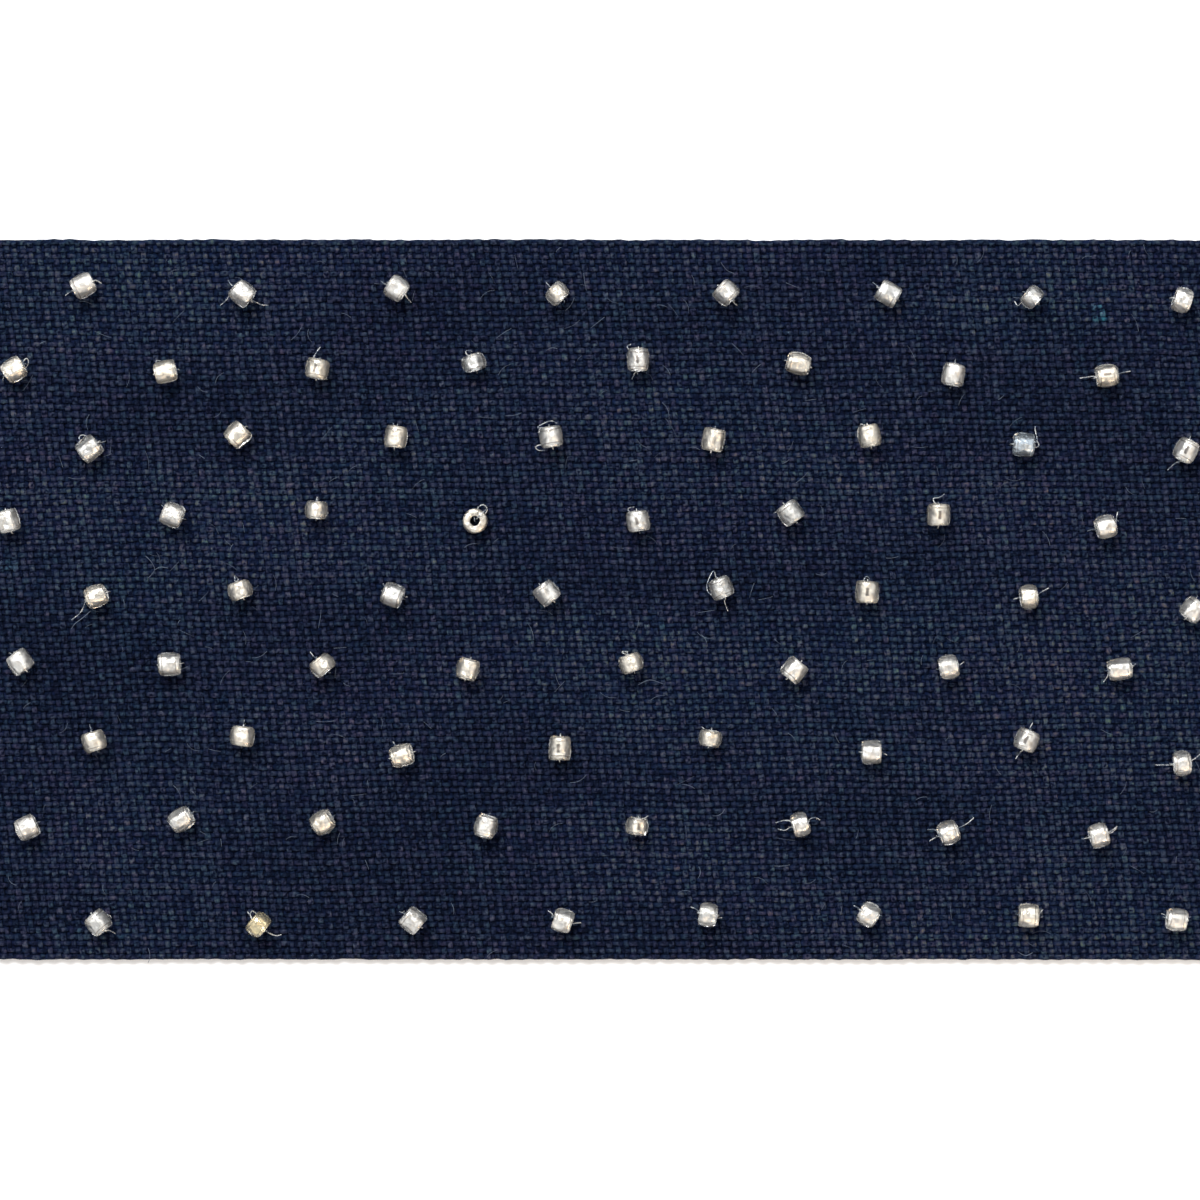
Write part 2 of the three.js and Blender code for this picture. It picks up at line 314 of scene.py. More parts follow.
class Bench:
    """Puts nodes into one tree, with what goes into each."""

    def __init__(self, tree):
        self.tree = tree

    def feed(self, socket, value):
        value = getattr(value, "socket", value)
        if isinstance(value, bpy.types.NodeSocket):
            self.tree.links.new(value, socket)
        else:
            socket.default_value = value

    def feed_all(self, sockets, values):
        for key, value in dict(values).items():
            self.feed(sockets[key], value)

    def node(self, kind, inputs=(), **settings):
        made = self.tree.nodes.new(kind)
        for name, value in settings.items():
            setattr(made, name, value)
        self.feed_all(made.inputs, inputs)
        return made

    def out(self, kind, inputs=(), result=0, **settings):
        return self.node(kind, inputs, **settings).outputs[result]

    def amount(self, kind, inputs=(), result=0, **settings):
        return Amount(self, self.out(kind, inputs, result, **settings))

    def math(self, operation, *values):
        return self.amount("ShaderNodeMath", enumerate(values), operation=operation)

    def clamped(self, value, low=0.0, high=1.0):
        return self.amount("ShaderNodeClamp", {"Value": value, "Min": low, "Max": high})

    def ramp(self, value, start, end, low=0.0, high=1.0):
        """value's way from start to end, eased, as an amount from low to high."""
        sizes = {"Value": value, "From Min": start, "From Max": end, "To Min": low, "To Max": high}
        return self.amount("ShaderNodeMapRange", sizes, interpolation_type="SMOOTHSTEP")

    def vector(self, x=0.0, y=0.0, z=0.0):
        return self.out("ShaderNodeCombineXYZ", {0: x, 1: y, 2: z})

    def vectors(self, operation, *values):
        return self.out("ShaderNodeVectorMath", enumerate(values), operation=operation)

    def scaled(self, vector, factor):
        return self.out("ShaderNodeVectorMath", {0: vector, "Scale": factor}, operation="SCALE")

    def parts(self, vector):
        made = self.node("ShaderNodeSeparateXYZ", {0: vector})
        return [Amount(self, socket) for socket in made.outputs]

    def noise(self, place, scale, detail=2.0):
        """A smooth random amount from about 0 to 1."""
        return self.amount("ShaderNodeTexNoise", {"Vector": place, "Scale": scale, "Detail": detail})

    def nudge(self, place, scale, reach):
        """A smooth random vector, up to about half of reach each way."""
        inputs = {"Vector": place, "Scale": scale, "Detail": 2.0}
        centred = self.vectors("SUBTRACT", self.out("ShaderNodeTexNoise", inputs, 1), (0.5, 0.5, 0.5))
        return self.scaled(centred, reach)

    def mixed(self, share, first, second, **settings):
        inputs = {0: share, 6: first, 7: second}
        return self.out("ShaderNodeMix", inputs, 2, data_type="RGBA", **settings)

    def tinted(self, colour, by):
        """colour multiplied by another."""
        return self.mixed(1.0, colour, by, blend_type="MULTIPLY")

    def blended(self, share, first, second, clamp=True):
        """first and second mixed by share, which may pass 1 where it isn't clamped."""
        return self.mixed(share, first, second, clamp_factor=clamp)

    # Only for materials
    def read(self, name, result):
        """A mark of the piece: result 0 is its colour, 1 its vector and 2 its amount."""
        return self.out("ShaderNodeAttribute", (), result, attribute_name=name)

    def bump(self, height, strength, distance):
        inputs = {"Strength": strength, "Distance": distance, "Height": height}
        return self.out("ShaderNodeBump", inputs)

    # Only for shapes
    def chance(self, low, high, number, seed):
        """An amount from low to high that is always the same for a whole number and a seed."""
        inputs = {2: low, 3: high, 7: number, 8: seed}
        return self.amount("FunctionNodeRandomValue", inputs, 1, data_type="FLOAT")

    def kept(self, geometry, value):
        """The geometry, and value as it is here, still there for the nodes that come later."""
        made = self.node("GeometryNodeCaptureAttribute", {0: geometry})
        made.capture_items.new("FLOAT", "Kept")
        self.feed(made.inputs[1], value)
        return made.outputs[0], Amount(self, made.outputs[1])

    def marked(self, geometry, name, value, kind="FLOAT", domain="POINT"):
        """The geometry with value written on it, for its material to read."""
        inputs = {0: geometry, 2: name}
        made = self.node("GeometryNodeStoreNamedAttribute", inputs, data_type=kind, domain=domain)
        self.feed(made.inputs[3], value)
        return made.outputs[0]

    def mark(self, name, kind="FLOAT"):
        return self.out("GeometryNodeInputNamedAttribute", {0: name}, data_type=kind)

    def placed(self, geometry, position):
        return self.out("GeometryNodeSetPosition", {0: geometry, 2: position})

    def moved(self, geometry, offset):
        return self.out("GeometryNodeSetPosition", {0: geometry, 3: offset})

    def circle(self, sides, radius):
        inputs = {"Resolution": sides, "Radius": radius}
        return self.out("GeometryNodeCurvePrimitiveCircle", inputs, mode="RADIUS")

    def joined(self, geometries):
        both = self.node("GeometryNodeJoinGeometry")
        for geometry in geometries:
            self.tree.links.new(geometry, both.inputs[0])
        return both.outputs[0]

    def finish(self, geometry, material):
        geometry = self.out("GeometryNodeRealizeInstances", {0: geometry})
        geometry = self.out("GeometryNodeSetShadeSmooth", {0: geometry, 2: True})
        geometry = self.out("GeometryNodeSetMaterial", {0: geometry, 2: material})
        self.node("NodeGroupOutput", {0: geometry})


def tree_with(name, tree_kind, sockets, results):
    """A new tree with inputs and outputs, named by kind: its bench, and its inputs by name."""
    tree = bpy.data.node_groups.new(name, tree_kind)
    for in_out, kinds in (("INPUT", sockets), ("OUTPUT", results)):
        for kind, names in kinds.items():
            for socket_name in names:
                tree.interface.new_socket(socket_name, in_out=in_out, socket_type="NodeSocket" + kind)
    bench = Bench(tree)
    given = {}
    for socket in bench.node("NodeGroupInput").outputs:
        if socket.name:
            given[socket.name] = Amount(bench, socket) if socket.type in ("VALUE", "INT") else socket
    return bench, given


def maker_tree(name, sockets):
    geometry = {"Geometry": ("Geometry",)}
    sockets = {**geometry, "Material": ("Material",), **sockets}
    return tree_with(name, "GeometryNodeTree", sockets, geometry)


def piece_from(name, bench, values, start=None):
    """Runs a tree once on the start mesh and keeps what it makes as a plain mesh at the origin."""
    start = start or bpy.data.meshes.new(name + "_start")
    maker = bpy.data.objects.new(name + "_maker", start)
    bpy.context.scene.collection.objects.link(maker)
    modifier = maker.modifiers.new("Maker", "NODES")
    modifier.node_group = bench.tree
    for socket in bench.tree.interface.items_tree:
        if socket.in_out == "INPUT" and socket.name in values:
            modifier[socket.identifier] = values[socket.name]
    depsgraph = bpy.context.evaluated_depsgraph_get()
    made = maker.evaluated_get(depsgraph)
    mesh = bpy.data.meshes.new_from_object(made, preserve_all_data_layers=True, depsgraph=depsgraph)
    mesh.name = name
    bpy.data.objects.remove(maker)
    bpy.data.meshes.remove(start)
    piece = bpy.data.objects.new(name, mesh)
    bpy.context.scene.collection.objects.link(piece)
    return piece


# Materials
def material_named(name):
    """An empty material: itself, its bench, its shader's sockets and the place on the trim."""
    material = bpy.data.materials.new(name)
    material.use_nodes = True
    bench = Bench(material.node_tree)
    surface = material.node_tree.nodes["Principled BSDF"].inputs
    place = bench.out("ShaderNodeTexCoord", (), "Object")
    return material, bench, surface, place


def dyed_fibre_group():
    """Dyed linen fibre. Place runs along the fibres in x and across them in y. The crown of a yarn is
    painted lighter, as lit, and what lies deep between yarns is painted dark as shade. Tone is the
    crown's lightness, Hue runs from plum at -1 to teal at 1, and Slub mixes in a light blue."""
    sockets = {
        "Vector": ("Place", "Cloth Place"),
        "Color": ("Painted Shade Colour", "Lit Crown Colour"),
        "Float": ("Crown", "Tone", "Hue", "Slub"),
    }
    results = {"Color": ("Colour",), "Float": ("Roughness", "Height")}
    bench, given = tree_with("dyed fibre", "ShaderNodeTree", sockets, results)
    place = given["Cloth Place"]
    strands = bench.noise(given["Place"], 1.0, 3.0)
    patches = bench.noise(bench.vectors("MULTIPLY", place, (0.35, 1.0, 1.0)), 90.0, 1.0)
    bloom = bench.noise(place, 2900.0, 1.5)
    mottle = bench.noise(place, 1500.0, 3.0)
    dye_lot = bench.noise(place, 60.0, 1.0)

    lightness = given["Tone"] * bench.ramp(strands, 0.25, 0.75, 0.48, 1.52)
    lightness = lightness * bench.ramp(patches, 0.3, 0.7, 0.6, 1.4)
    lightness = lightness * bench.ramp(bloom, 0.32, 0.72, -0.1, 2.45)
    depth = bench.ramp(patches, 0.3, 0.7, 0.8, 1.2) * bench.ramp(bloom, 0.3, 0.72, 0.5, 1.45)
    # Painted shade and light: the deep colour stands in for the shade between the yarns, the crown
    # colour is the lit top
    deep = bench.scaled(given["Painted Shade Colour"], depth)
    crown = bench.blended(bench.clamped(given["Slub"]), given["Lit Crown Colour"], SLUB_BLUE)
    share = bench.clamped(given["Crown"]) * (lightness + given["Slub"] * 0.35)
    hue = bench.clamped(given["Hue"] + (mottle - 0.5) * 3.6 + (dye_lot - 0.5) * 1.2, -1.0, 1.0)
    cast = bench.blended(hue * 0.5 + 0.5, PLUM_CAST, TEAL_CAST)
    bench.node("NodeGroupOutput", {
        "Colour": bench.tinted(bench.blended(share, deep, crown, clamp=False), cast),
        "Roughness": bench.ramp(strands, 0.2, 0.8, 0.95, 0.8),
        "Height": strands,
    })
    return bench.tree


def dyed_linen_material(name, fibres, place_on, values, relief):
    """A material of dyed fibres. place_on puts in the nodes for the place along them, values gives the
    dye's marks, and relief is the bump's strength and distance."""
    material, bench, surface, cloth_place = material_named(name)
    _, _, level = bench.parts(cloth_place)
    fibre = bench.node("ShaderNodeGroup", node_tree=fibres)
    bench.feed_all(fibre.inputs, {
        "Place": place_on(bench, cloth_place),
        "Cloth Place": cloth_place,
        "Painted Shade Colour": PAINTED_SHADE_NAVY,
        "Lit Crown Colour": LIT_CROWN_NAVY,
        # Painted shade and light: by height, from painted shade low between the yarns to the lit crown
        # at their tops
        "Crown": bench.ramp(abs(level - YARN_LEVEL), 0.12 * MM, CRIMP + 0.25 * MM),
        **values(bench),
    })
    bench.feed_all(surface, {
        "Base Color": fibre.outputs["Colour"],
        "Roughness": fibre.outputs["Roughness"],
        "Normal": bench.bump(fibre.outputs["Height"], *relief),
        "Specular IOR Level": 0.06,
    })
    return material


def yarn_material(name, fibres, along, across):
    """Linen yarn whose fibres follow its own UV map. along and across scale the map to the fibres."""

    def place_on(bench, _):
        u, v, _ = bench.parts(bench.out("ShaderNodeUVMap", uv_map="OFBake"))
        return bench.vector(u * along, v * across + u * along * 0.8)

    def values(bench):
        return {mark.capitalize(): bench.read(mark, 2) for mark in ("tone", "hue", "slub")}

    return dyed_linen_material(name, fibres, place_on, values, (0.6, 0.04 * MM))


def gap_shade_material(fibres):
    """Painted shade: the dark colour of the sheet that stands in for the shade deep between the yarns
    """

    def place_on(bench, cloth_place):
        return bench.out("ShaderNodeMapping", {"Vector": cloth_place, "Scale": (700.0, 2600.0, 1.0)})

    def values(_):
        return {"Crown": 0.02, "Tone": 1.0, "Hue": 0.0, "Slub": 0.0}

    return dyed_linen_material("painted gap shade", fibres, place_on, values, (0.5, 0.03 * MM))


def bead_glass_material():
    """Seed bead glass, a little milky, with faint ripples and a breath of its own tint"""
    material, bench, surface, place = material_named("seed bead glass")
    streaks = bench.noise(place, 1500.0)
    ripples = bench.noise(place, 1000.0)
    milk = bench.ramp(streaks, 0.3, 0.7, 0.5, 0.95)
    bench.feed_all(surface, {
        "Base Color": bench.blended(milk, CLEAR_GLASS, bench.read("tint", 0)),
        "Roughness": bench.ramp(streaks, 0.35, 0.75, 0.03, 0.12),
        "Normal": bench.bump(ripples, 0.8, 0.12 * MM),
        "Transmission Weight": 0.96,
        "IOR": 1.5,
    })
    return material


def silver_lining_material():
    """The silvering inside the hole: crinkled and tarnished, with painted dark rings near its ends and
    a painted dark reflection along its top
    """
    material, bench, surface, place = material_named("silver lining")
    along, around, _ = bench.parts(bench.read("on_ring", 1))
    east, north, _ = bench.parts(place)
    crinkle = bench.noise(place, 1400.0, 1.5)
    wobble = bench.noise(place, 1500.0) - 0.5
    streaks = bench.vector(along * 3.0, around * 9.0, east * 170.0 + north * 230.0)
    tarnish = bench.ramp(bench.noise(streaks, 1.0, 1.0), 0.54, 0.7, 0.0, 0.5)
    # Painted dark reflection: a dark band along the top of the silvering, where it faces up
    reflection_width = bench.ramp(abs(around + wobble * 0.06), 0.05, 0.015)
    reflection_length = bench.ramp(abs(along + wobble * 0.2), 0.22, 0.15)
    dark_reflection = reflection_width * reflection_length * bench.read("dark_reflection", 2)
    # Painted dark rings near the silvering's ends, in patches, for the refraction at the glass's
    # rounded lip
    rim_refraction = bench.ramp(abs(abs(along) - 0.3 + wobble * 0.08), 0.04, 0.01)
    rim_refraction = rim_refraction * bench.ramp(bench.noise(place, 420.0, 1.0), 0.42, 0.56)
    colour = bench.blended(tarnish, bench.tinted(bench.read("tint", 0), SILVER_CAST), TARNISHED_SILVER)
    colour = bench.blended(rim_refraction * 0.7, colour, RIM_REFRACTION_BROWN)
    bench.feed_all(surface, {
        "Base Color": bench.blended(dark_reflection, colour, DARK_REFLECTION_BROWN),
        "Roughness": bench.ramp(crinkle, 0.3, 0.7, 0.36, 0.6),
        "Normal": bench.bump(crinkle, 1.0, 0.3 * MM),
        "Metallic": 1.0,
    })
    return material


def filament_material():
    """Clear nylon filament, painted white in patches that stand in for broken glints and darker
    between, the white patches also rougher
    """
    material, bench, surface, place = material_named("clear filament")
    milk_and_glints = bench.noise(place, 1800.0)
    bench.feed_all(surface, {
        # Painted glints: white patches along the filament, darker between
        "Base Color": bench.blended(bench.ramp(milk_and_glints, 0.42, 0.56), *FILAMENT_FADE_AND_GLINT),
        "Roughness": bench.ramp(milk_and_glints, 0.3, 0.7, 0.08, 0.3),
        "Normal": bench.bump(milk_and_glints, 0.3, 0.02 * MM),
        "Transmission Weight": 0.76,
        "IOR": 1.53,
    })
    return material


def hair_material():
    """A stray linen fibre, rubbed pale in places"""
    material, bench, surface, place = material_named("loose linen hair")
    rubbed = bench.noise(place, 1200.0)
    bench.feed_all(surface, {
        "Base Color": bench.blended(bench.ramp(rubbed, 0.35, 0.65), *HAIR_SHADES),
        "Roughness": bench.ramp(rubbed, 0.3, 0.7, 0.6, 0.85),
    })
    return material


def paper_material():
    """The pale floor"""
    material, bench, surface, place = material_named("white paper floor")
    grain = bench.noise(place, 60.0, 4.0)
    bench.feed_all(surface, {"Base Color": bench.blended(grain, *PAPER_SHADES), "Roughness": 0.8})
    return material


# Woven cloth
def slubs_near(bench, x, y):
    """How much a place on the cloth belongs to the charted slubs"""
    step = CHART_STEP * MM
    slub = 0.0
    for slub_x, slub_y, half_length, half_width, strength in DYE_SLUBS:
        off_x = (x - slub_x * step) / (half_length * step)
        off_y = (y - slub_y * step) / (half_width * step)
        slub = bench.ramp(off_x * off_x + off_y * off_y, 1.5, 0.5) * strength + slub
    return slub


def woven_yarns_tree():
    """One set of yarns of a plain weave. Each yarn lies at its pitch on the way Across and runs Along,
    over and under the crossing set by turns, with a ring on each crossing and one between each two."""
    bench, given = maker_tree("woven yarns", {
        "Int": ("Yarns", "First Yarn", "Yarns In Cloth", "Crossings", "First Over", "Seed"),
        "Vector": ("Along", "Across"),
        "Float": ("Yarn Pitch", "Crossing Pitch", "Level", "Crimp", "Half Width", "Half Thickness",
                  "Cloth Half Length", "Cloth Half Width", "Lightness"),
    })
    line = bench.out("GeometryNodeCurvePrimitiveLine")
    line = bench.out("GeometryNodeResampleCurve", {0: line, 2: given["Crossings"] * 2 + 1})
    copies = bench.node("GeometryNodeDuplicateElements", {0: line, 2: given["Yarns"]}, domain="SPLINE")
    geometry, copy = bench.kept(copies.outputs[0], copies.outputs[1])

    # Each ring's yarn and crossing, with a number of its own for each crossing of each yarn
    yarn = copy + given["First Yarn"]
    ring = bench.amount("GeometryNodeSplineParameter", (), 2)
    crossing = bench.math("FLOOR", ring / 2)
    on_crossing = ring % 2
    knot = yarn * 1000 + crossing
    seed = given["Seed"]

    # Where the ring is: first on an even lattice, then pulled about by the weaver's uneven tension
    along = (ring * 0.5 - given["Crossings"] * 0.5) * given["Crossing Pitch"]
    shift = bench.chance(-YARN_SHIFT, YARN_SHIFT, yarn, seed)
    across = (yarn + 0.5 - given["Yarns In Cloth"] * 0.5 + shift) * given["Yarn Pitch"]
    along_way = bench.scaled(given["Along"], along)
    lattice = bench.vectors("ADD", along_way, bench.scaled(given["Across"], across))
    x, y, _ = bench.parts(lattice)
    pull_x, pull_y, _ = bench.parts(bench.nudge(lattice, 70.0, TENSION_PULL))
    pull_x = pull_x * bench.ramp(given["Cloth Half Length"] - abs(x), FIRM_EDGE, SLACK_FROM_EDGE)
    pull_y = pull_y * bench.ramp(given["Cloth Half Width"] - abs(y), FIRM_EDGE, SLACK_FROM_EDGE)
    own_place = bench.vector(along * 420.0, yarn * 7.3, seed * 3.1)
    wander = bench.scaled(given["Across"], (bench.noise(own_place, 1.0, 1.0) - 0.5) * YARN_WANDER)
    over = (crossing + yarn + given["First Over"]) % 2 * 2 - 1
    crimp = given["Crimp"] * bench.chance(0.6, 1.25, knot, seed + 1)
    pull = bench.vector(pull_x, pull_y, given["Level"] + over * on_crossing * crimp)
    position = bench.vectors("ADD", lattice, bench.vectors("ADD", pull, wander))
    geometry = bench.placed(geometry, position)

    # The yarn's thickness: from spinning, with slubs
    spun = bench.noise(bench.vector(along * 110.0, yarn * 3.7, seed * 5.3), 1.0, 1.0)
    thickness = bench.chance(0.88, 1.12, yarn, seed + 2) + (spun - 0.5) * 0.5
    thickness = thickness + bench.chance(-0.09, 0.09, knot, seed)

    # Marks for the dye
    tone = given["Lightness"] * bench.chance(0.93, 1.08, yarn, seed + 3)
    tone = tone * bench.chance(0.6, 1.44, knot, seed + 4) * bench.ramp(spun, 0.3, 0.75, 0.96, 1.06)
    hue = bench.chance(-0.3, 0.6, yarn, seed + 5) + bench.chance(-0.3, 0.3, knot, seed + 6)
    slub = slubs_near(bench, x, y) * bench.chance(0.35, 1.0, knot, seed + 7)
    for name, mark in (("tone", tone), ("hue", hue), ("slub", slub)):
        geometry = bench.marked(geometry, name, mark)

    # Cut off square at the cloth's edges, the leaning yarns too
    run = along / given["Crossing Pitch"] / given["Crossings"] + 0.5
    geometry, run = bench.kept(geometry, run)
    geometry, thickness = bench.kept(geometry, thickness)
    past_end = bench.math("GREATER_THAN", abs(x), given["Cloth Half Length"])
    past_side = bench.math("GREATER_THAN", abs(y), given["Cloth Half Width"])
    outside = bench.math("MAXIMUM", past_end, past_side)
    geometry = bench.out("GeometryNodeDeleteGeometry", {0: geometry, 1: outside}, domain="POINT")

    # Swept to an oval yarn
    geometry = bench.out("GeometryNodeSetCurveNormal", {0: geometry}, mode="Z_UP")
    circle = bench.circle(YARN_SIDES, 1.0)
    oval = bench.out("GeometryNodeTransform", {0: circle, 2: (0.0, 0.0, math.pi / 2)})
    oval, side = bench.kept(oval, bench.out("GeometryNodeInputIndex"))
    size = bench.vector(given["Half Width"], given["Half Thickness"], 1.0)
    oval = bench.out("GeometryNodeTransform", {0: oval, 3: size})
    mesh = bench.out("GeometryNodeCurveToMesh", {0: geometry, 1: oval, 2: thickness, 3: True})

    # Its own map: one strip a yarn, opened along one side
    middle = bench.amount("GeometryNodeFieldOnDomain", {0: side}, domain="FACE", data_type="FLOAT")
    closes = bench.math("LESS_THAN", side, middle - 0.6)
    strip = copy + 0.06 + (side + closes * YARN_SIDES) * (0.88 / YARN_SIDES)
    map_place = bench.vector(run * 0.99 + 0.005, strip / given["Yarns"], 0.0)
    mesh = bench.marked(mesh, "OFBake", map_place, "FLOAT2", "CORNER")
    bench.finish(mesh, given["Material"])
    return bench


def gap_shade_sheet_tree():
    """A thin dark sheet between the yarns that stands in for the shade in the gaps, gently uneven"""
    bench, given = maker_tree("gap shade sheet", {
        "Float": ("Length", "Width", "Level", "Thickness", "Step", "Unevenness")})
    sheet = bench.out("GeometryNodeMeshGrid", {
        0: given["Length"], 1: given["Width"],
        2: given["Length"] / given["Step"], 3: given["Width"] / given["Step"],
    })
    place = bench.out("GeometryNodeInputPosition")
    uneven = (bench.noise(place, 500.0, 1.0) - 0.5) * given["Unevenness"]
    height = uneven + given["Level"] - given["Thickness"] * 0.5
    sheet = bench.moved(sheet, bench.vector(z=height))
    upper = bench.out("GeometryNodeExtrudeMesh", {
        0: sheet, "Offset Scale": given["Thickness"], "Individual": False})
    lower = bench.out("GeometryNodeFlipFaces", {0: sheet})
    both = bench.joined((upper, lower))
    closed = bench.out("GeometryNodeMergeByDistance", {0: both, "Distance": 0.001 * MM})
    bench.finish(closed, given["Material"])
    return bench


# Beads
def ring_shape(bench, points, sides, roundness, length, inner, outer, square_inner, square_outer):
    """A ring about X swept from a rounded section. Roundness 1 is an ellipse and 0 a sharp rectangle.
    The square shares turn its inner and outer outlines from round towards a square."""
    grid = bench.out("GeometryNodeMeshGrid", {0: 1.0, 1: 1.0, 2: points + 1, 3: sides + 1})
    u, v, _ = bench.parts(bench.out("GeometryNodeInputPosition"))
    about_section = u * (2 * math.pi)
    about_hole = v * (2 * math.pi) + math.pi / 2

    def drawn_out(wave):
        return bench.math("SIGN", wave) * abs(wave) ** roundness

    x = drawn_out(bench.math("COSINE", about_section)) * (length * 0.5)
    outwards = drawn_out(bench.math("SINE", about_section)) * 0.5 + 0.5
    cosine = bench.math("COSINE", about_hole)
    sine = bench.math("SINE", about_hole)
    corner = 5.0
    squared = (abs(cosine) ** corner + abs(sine) ** corner) ** (-1 / corner)
    squareness = outwards * (square_outer - square_inner) + square_inner
    radius = (outwards * (outer - inner) + inner) * ((squared - 1.0) * squareness + 1.0)
    grid = bench.marked(grid, "on_ring", bench.vector(x, v), "FLOAT_VECTOR")
    ring = bench.placed(grid, bench.vector(x, radius * cosine, radius * sine))
    return bench.out("GeometryNodeMergeByDistance", {0: ring, "Distance": 0.0005})


def glass_ring(bench, form):
    return ring_shape(
        bench, points=18, sides=28, roundness=form["roundness"], length=1.0,
        inner=BEAD_HOLE_SHARE / 2, outer=0.5, square_inner=SQUARED_HOLE, square_outer=0.0)


def lining_ring(bench, form):
    return ring_shape(
        bench, points=12, sides=20, roundness=form["lining_roundness"], length=LINING_LENGTH_SHARE,
        inner=BEAD_HOLE_SHARE / 2 * 0.96, outer=LINING_SHARE / 2 * form["lining_width"],
        square_inner=SQUARED_HOLE, square_outer=SQUARED_LINING)


def beads_tree(name, ring):
    """A ring set on each chart point, formed, faced and sized by the point's marks, then made uneven"""
    bench, given = maker_tree(name, {"Float": ("Unevenness",)})
    forms = bench.joined([
        bench.out("GeometryNodeGeometryToInstance", {0: ring(bench, form)})
        for form in reversed(BEAD_FORMS.values())])
    facing = bench.out("FunctionNodeEulerToRotation", {0: bench.mark("facing", "FLOAT_VECTOR")})
    beads = bench.out("GeometryNodeInstanceOnPoints", {
        0: given["Geometry"], 2: forms, 3: True, 4: bench.mark("form", "INT"), 5: facing,
        6: bench.mark("size", "FLOAT_VECTOR")})
    beads = bench.out("GeometryNodeRealizeInstances", {0: beads})
    dents = bench.nudge(bench.out("GeometryNodeInputPosition"), 560.0, given["Unevenness"])
    bench.finish(bench.moved(beads, dents), given["Material"])
    return bench


def sewn_beads():
    """Each charted bead: row, place, middle, turn, size, whether it stands up, glass, form and the
    strength of its painted dark reflection
    """
    beads = []
    for row, (glasses, forms, charted) in enumerate(BEAD_CHART):
        for place, (x, y, turn, length) in enumerate(charted):
            small = SMALL_BEAD if forms[place] == "o" else 1.0
            width = (BEAD_WIDTH_AT_NO_LENGTH - BEAD_WIDTH_LOST_PER_LENGTH * length) * small
            length *= small
            upright = (row, place) == UPRIGHT_BEAD
            height = length if upright else width
            beads.append({
                "row": row, "place": place, "turn": math.radians(turn), "upright": upright,
                "middle": (x * CHART_STEP, y * CHART_STEP, FACE_LEVEL + BEAD_LIFT + height / 2),
                "length": length, "width": width,
                "tint": GLASS_TINTS[glasses[place]], "form": list(BEAD_FORMS).index(forms[place]),
                "dark_reflection": STRONG_DARK_REFLECTION if (row, place) in DARK_REFLECTION_BEADS else FAINT_DARK_REFLECTION,
            })
    return beads


def bead_points(beads):
    """The chart as a mesh of points that carry each bead's facing, size, tint, form and painted dark
    reflection
    """
    mesh = bpy.data.meshes.new("bead points")
    mesh.from_pydata([[c * MM for c in bead["middle"]] for bead in beads], [], [])
    rolls = random.Random(7)
    marks = {"facing": [], "size": [], "tint": [], "form": [], "dark_reflection": []}
    for bead in beads:
        tip = -math.pi / 2 if bead["upright"] else 0.0
        sides = (bead["length"], bead["width"], bead["width"])
        marks["facing"] += [rolls.uniform(-BEAD_ROLL, BEAD_ROLL), tip, bead["turn"]]
        marks["size"] += [side * BEAD_FULLNESS * MM for side in sides]
        marks["tint"] += [*bead["tint"], 1.0]
        marks["form"].append(bead["form"])
        marks["dark_reflection"].append(bead["dark_reflection"])
    for name, kind, field in (
        ("facing", "FLOAT_VECTOR", "vector"),
        ("size", "FLOAT_VECTOR", "vector"),
        ("tint", "FLOAT_COLOR", "color"),
        ("form", "INT", "value"),
        ("dark_reflection", "FLOAT", "value"),
    ):
        mesh.attributes.new(name, kind, "POINT").data.foreach_set(field, marks[name])
    return mesh


# Filament and hairs
def tube_tree():
    """Round filament along the drawn lines, each smoothed and as wide as its mark says"""
    bench, given = maker_tree("drawn filament", {"Int": ("Sides",), "Float": ("Step",)})
    lines = bench.out("GeometryNodeMeshToCurve", {0: given["Geometry"]})
    lines = bench.out("GeometryNodeCurveSplineType", {0: lines}, spline_type="CATMULL_ROM")
    lines = bench.out("GeometryNodeResampleCurve", {0: lines, 3: given["Step"]}, mode="LENGTH")
    profile = bench.circle(given["Sides"], 0.5)
    width = bench.mark("width")
    tube = bench.out("GeometryNodeCurveToMesh", {0: lines, 1: profile, 2: width, 3: True})
    bench.finish(tube, given["Material"])
    return bench


def drawn_lines(name, paths):
    """A mesh of open lines, each path a list of points in millimetres and a width in metres"""
    points = []
    edges = []
    widths = []
    for path, width in paths:
        first = len(points)
        points += [[c * MM for c in point] for point in path]
        edges += [(first + i, first + i + 1) for i in range(len(path) - 1)]
        widths += [width] * len(path)
    mesh = bpy.data.meshes.new(name)
    mesh.from_pydata(points, edges, [])
    mesh.attributes.new("width", "FLOAT", "POINT").data.foreach_set("value", widths)
    return mesh


def on_turn(bead, reach):
    """The place at a reach from the bead's middle along its turn"""
    x, y, _ = bead["middle"]
    return x + reach * math.cos(bead["turn"]), y + reach * math.sin(bead["turn"])


